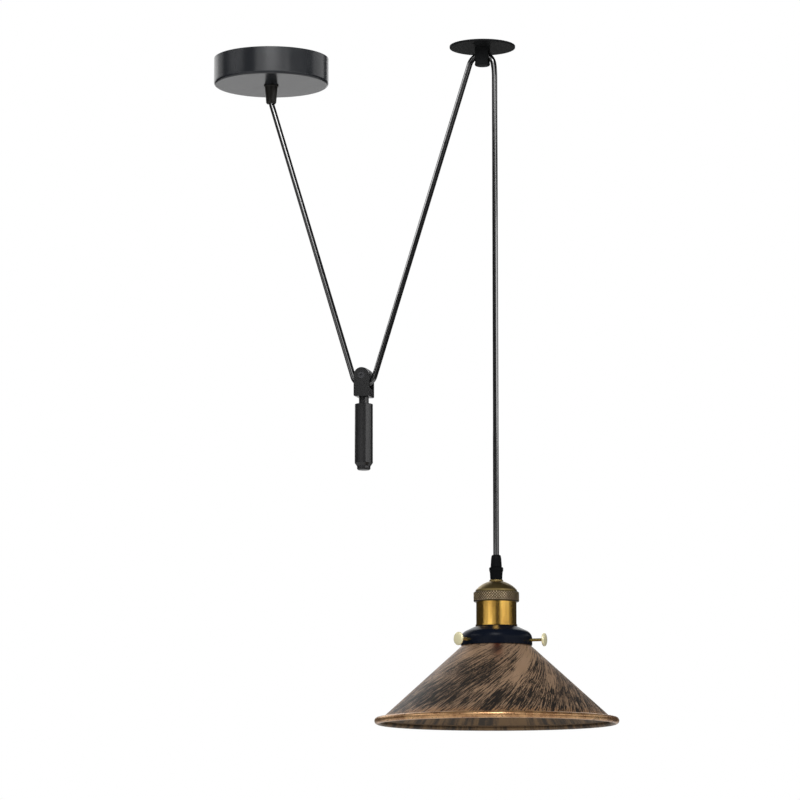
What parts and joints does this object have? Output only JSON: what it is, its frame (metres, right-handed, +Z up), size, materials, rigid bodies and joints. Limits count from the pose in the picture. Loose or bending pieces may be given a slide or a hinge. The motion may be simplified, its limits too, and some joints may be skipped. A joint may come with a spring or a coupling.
{
  "type": "rise and fall pendant",
  "caption": "Pendant with a conical metal shade on a lampholder. Its cord runs over a ceiling guide and under a hanging counterweight's wheel to a ceiling rose.",
  "frame": {"origin": "middle of the ceiling rose's mounting face", "axes": "+Z up to the ceiling, +X from the rose to the guide and the lamp, +Y away from the viewer of the picture"},
  "size_m": [0.4129, 0.2402, 0.6814],
  "materials": {
    "satin_black": "satin",
    "zinc_steel": "satin",
    "nipple_brass": "satin",
    "cord_grip": "semi-gloss",
    "terminal_nylon": "matte",
    "screw_black": "blackened",
    "bush_bronze": "satin",
    "wheel_nylon": "matte",
    "guide_nylon": "matte",
    "holder_gold": "turned, lacquered",
    "ring_bronze": "knurled, darkened",
    "porcelain": "glazed",
    "gallery_black": "gloss",
    "shade_copper": "brushed, darkened",
    "thumb_brass": "polished",
    "core_sleeve": "gloss",
    "cord_black": "gloss"
  },
  "bodies": {
    "ceiling": {"rose_cover": "satin_black", "rose_bracket": "zinc_steel", "rose_nipple": "nipple_brass", "rose_nuts": "nipple_brass", "rose_cord_grip": "cord_grip", "terminal_block": "terminal_nylon", "terminal_inserts": "nipple_brass", "terminal_screws": "zinc_steel", "block_screw": "zinc_steel", "rose_wires": "core_sleeve", "guide_plate": "satin_black", "guide_post_screw": "zinc_steel", "guide_post": "satin_black", "guide_pin": "zinc_steel", "cord_rose_leg": "cord_black", "cord_guide_leg": "cord_black", "cord_drop": "cord_black"},
    "guide_roller": {"guide_roller": "guide_nylon"},
    "counterweight": {"fork": "satin_black", "axle_screw": "screw_black", "axle_bush": "bush_bronze", "weight_stem": "satin_black", "weight": "satin_black", "weight_end_cap": "satin_black"},
    "pulley_wheel": {"pulley_wheel": "wheel_nylon"},
    "lamp": {"lamp_grip_cap": "cord_grip", "lamp_grip_body": "cord_grip", "holder_nipple": "nipple_brass", "holder_nut": "nipple_brass", "holder_collar": "holder_gold", "holder_cap": "holder_gold", "knurled_ring": "ring_bronze", "holder_body": "holder_gold", "holder_insert": "porcelain", "screw_shell": "nipple_brass", "centre_contact": "nipple_brass", "lamp_terminals": "nipple_brass", "lamp_terminal_screws": "zinc_steel", "lamp_wires": "core_sleeve", "gallery": "gallery_black", "shade_ring": "holder_gold", "shade": "shade_copper"},
    "thumbscrew_1": {"thumbscrew_1": "thumb_brass"},
    "thumbscrew_2": {"thumbscrew_2": "thumb_brass"},
    "thumbscrew_3": {"thumbscrew_3": "thumb_brass"}
  },
  "joints": [
    {"name": "lamp_rise", "type": "slide", "parent": "ceiling", "child": "lamp", "axis": [0, 0, 1], "range_m": [-0.25, 0.2], "deforming": ["cord_drop"]},
    {"name": "weight_rise", "type": "slide", "parent": "ceiling", "child": "counterweight", "axis": [0, 0, 1], "range_m": [-0.11, 0.137], "deforming": ["cord_rose_leg", "cord_guide_leg"]},
    {"name": "wheel_spin", "type": "hinge", "parent": "counterweight", "child": "pulley_wheel", "pos_m": [0.0985, 0, -0.331], "axis": [0, 1, 0], "continuous": true},
    {"name": "roller_spin", "type": "hinge", "parent": "ceiling", "child": "guide_roller", "pos_m": [0.2218, 0, -0.0137], "axis": [0, 1, 0], "continuous": true},
    {"name": "thumbscrew_1_slide", "type": "slide", "parent": "lamp", "child": "thumbscrew_1", "axis": [0.9962, -0.0872, 0], "range_m": [0, 0.005]},
    {"name": "thumbscrew_2_slide", "type": "slide", "parent": "lamp", "child": "thumbscrew_2", "axis": [-0.4226, 0.9063, 0], "range_m": [0, 0.005]},
    {"name": "thumbscrew_3_slide", "type": "slide", "parent": "lamp", "child": "thumbscrew_3", "axis": [-0.5736, -0.8192, 0], "range_m": [0, 0.005]}
  ],
  "couplings": [
    {"joint": "weight_rise", "follows": "lamp_rise", "ratio": -0.54},
    {"joint": "wheel_spin", "follows": "lamp_rise", "rad_per_m": 58.8},
    {"joint": "roller_spin", "follows": "lamp_rise", "rad_per_m": -192.3}
  ]
}
